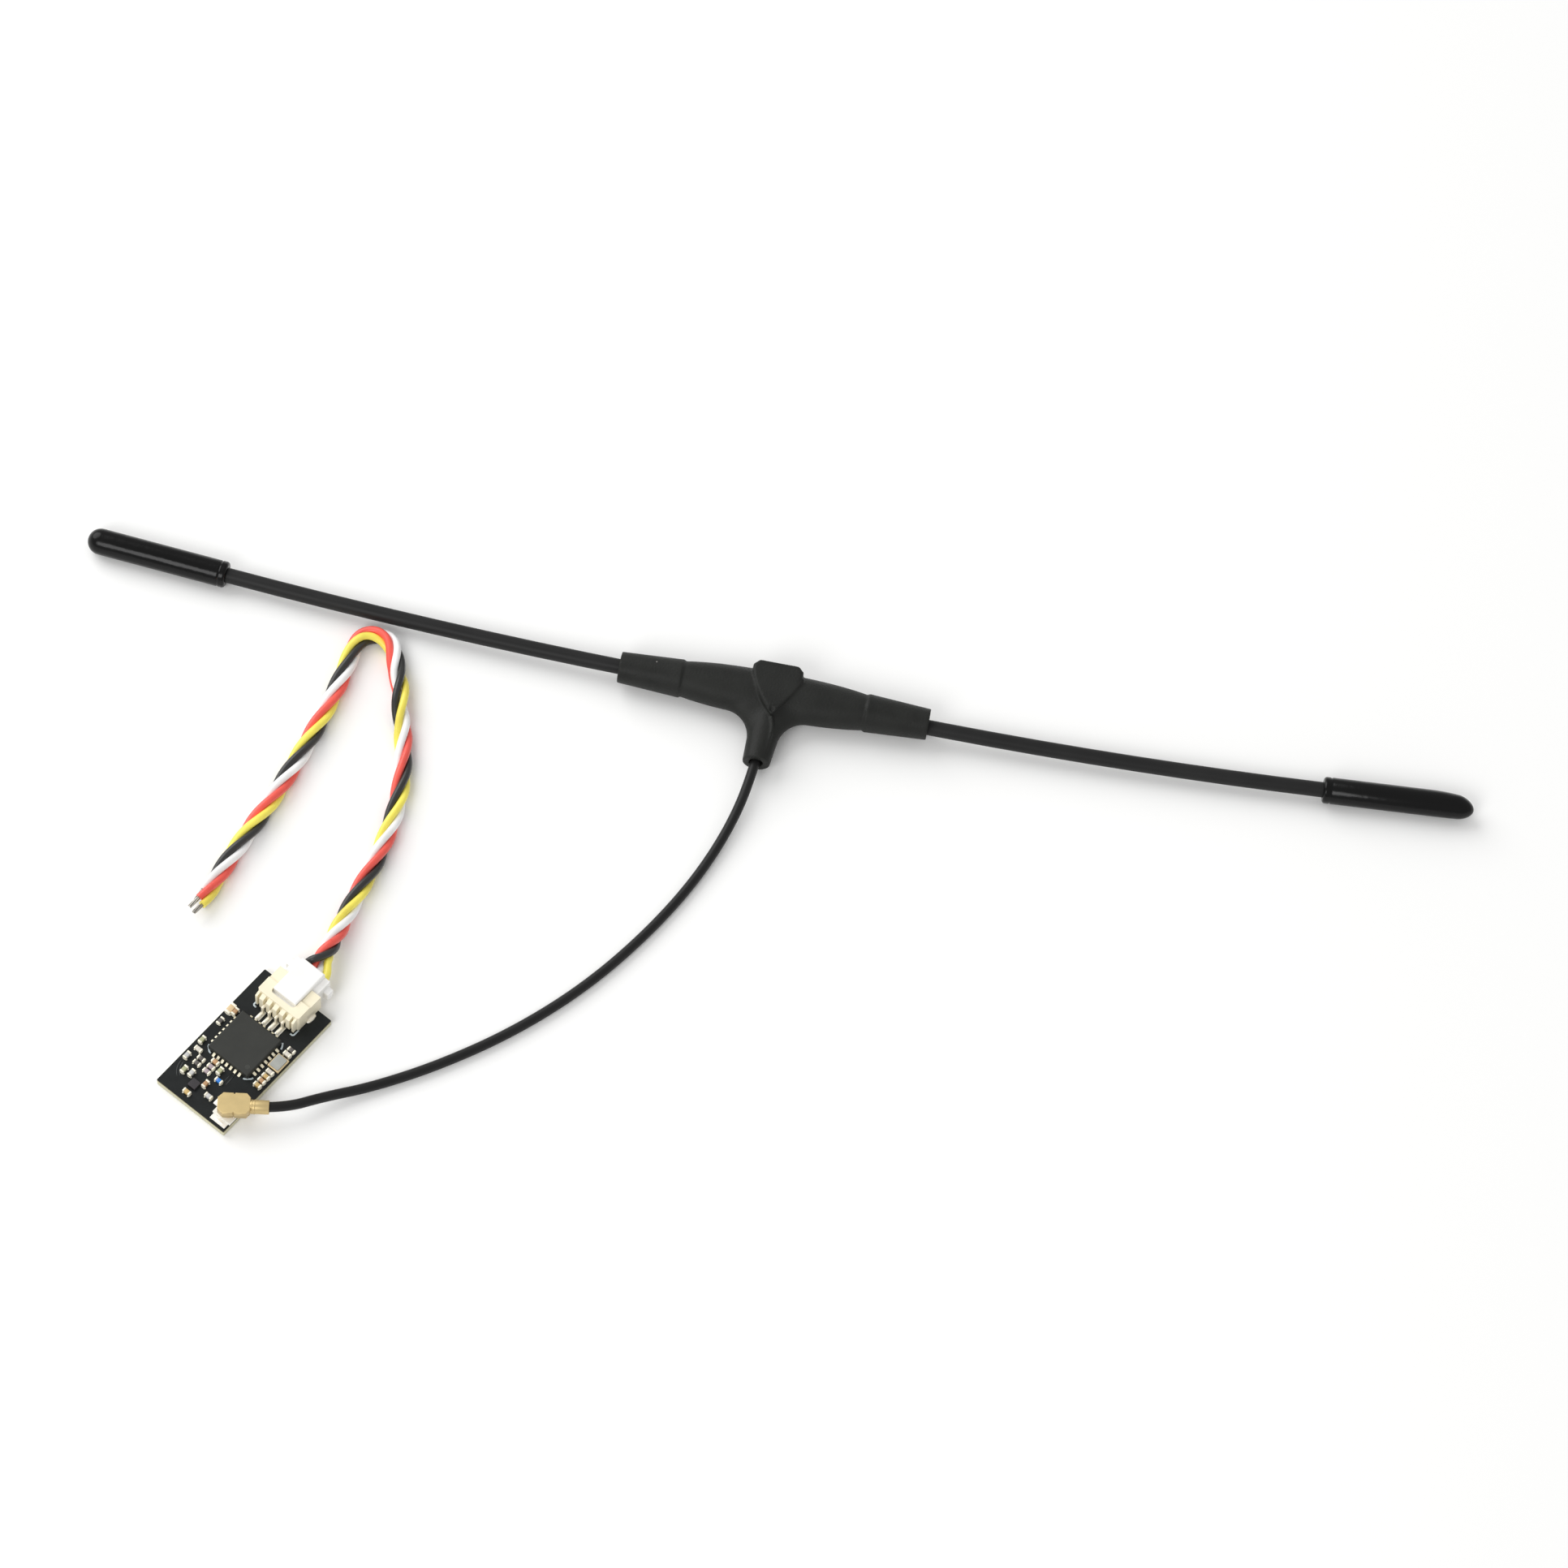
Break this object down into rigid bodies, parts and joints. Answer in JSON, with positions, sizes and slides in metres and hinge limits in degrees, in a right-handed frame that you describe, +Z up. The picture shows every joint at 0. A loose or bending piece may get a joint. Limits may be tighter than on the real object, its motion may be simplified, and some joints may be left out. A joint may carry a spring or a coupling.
{
  "type": "radio control receiver",
  "caption": "Tiny radio control receiver board with a side-entry header, a twisted servo lead and a coax-fed tee dipole antenna with capped ends.",
  "frame": {"origin": "under the middle of the antenna's tee moulding, on the surface that the part lies on", "axes": "+X along the right antenna arm, +Y away from the tee's stem, +Z up from the surface"},
  "size_m": [0.1685, 0.0746, 0.005],
  "materials": {
    "tee_rubber": "matt moulded rubber",
    "cap_vinyl": "glossy black vinyl",
    "sleeve_plastic": "satin black plastic",
    "steel_wire": "drawn wire",
    "solder": "bright solder",
    "coax_jacket": "slightly glossy black jacket",
    "tinned_copper": "tinned copper strands",
    "board_laminate": "black solder mask over laminate",
    "chip_epoxy": "matt moulded epoxy",
    "plated_gold": "gold plate",
    "crystal_lid_metal": "nickel-plated lid",
    "capacitor_ceramic": "brown ceramic",
    "resistor_film": "dark glaze",
    "inductor_ceramic": "pale grey ceramic",
    "blue_lens": "blue lens",
    "header_nylon": "natural nylon",
    "plug_nylon": "white nylon",
    "coax_plug_gold": "gold-plated sheet",
    "socket_plastic": "white moulded plastic",
    "wire_red_pvc": "soft red insulation",
    "wire_black_pvc": "soft black insulation",
    "wire_yellow_pvc": "soft yellow insulation",
    "wire_white_pvc": "soft white insulation",
    "bundle_pvc": "four twisted wires"
  },
  "bodies": {
    "root": {"tee_moulding": "tee_rubber", "left_element_sleeve": "sleeve_plastic", "right_element_sleeve": "sleeve_plastic", "left_radiator": "steel_wire", "right_radiator": "steel_wire", "left_end_cap": "cap_vinyl", "right_end_cap": "cap_vinyl", "coax_core_tail": "tinned_copper", "coax_braid_tail": "tinned_copper", "feed_solder_joints": "solder", "coax_cable": "coax_jacket", "circuit_board": "board_laminate", "transceiver_chip": "chip_epoxy", "chip_solder_joints": "plated_gold", "crystal_base": "plated_gold", "crystal_lid": "crystal_lid_metal", "capacitor_bodies": "capacitor_ceramic", "resistor_bodies": "resistor_film", "inductor_bodies": "inductor_ceramic", "status_led": "blue_lens", "chip_part_terminals": "solder", "switch_chip": "chip_epoxy", "header_housing": "header_nylon", "header_pins": "solder", "header_anchor_tabs": "solder", "plug_housing": "plug_nylon", "crimp_contacts": "tinned_copper", "socket_base": "socket_plastic", "socket_shell": "plated_gold", "socket_feet": "solder", "socket_centre_pin": "plated_gold", "coax_plug_shell": "coax_plug_gold", "coax_plug_insulator": "socket_plastic", "coax_plug_contact": "plated_gold", "wire_bundle": "bundle_pvc", "wire_black": "wire_black_pvc", "wire_red": "wire_red_pvc", "wire_white": "wire_white_pvc", "wire_yellow": "wire_yellow_pvc", "tinned_wire_ends": "tinned_copper"}
  },
  "joints": []
}
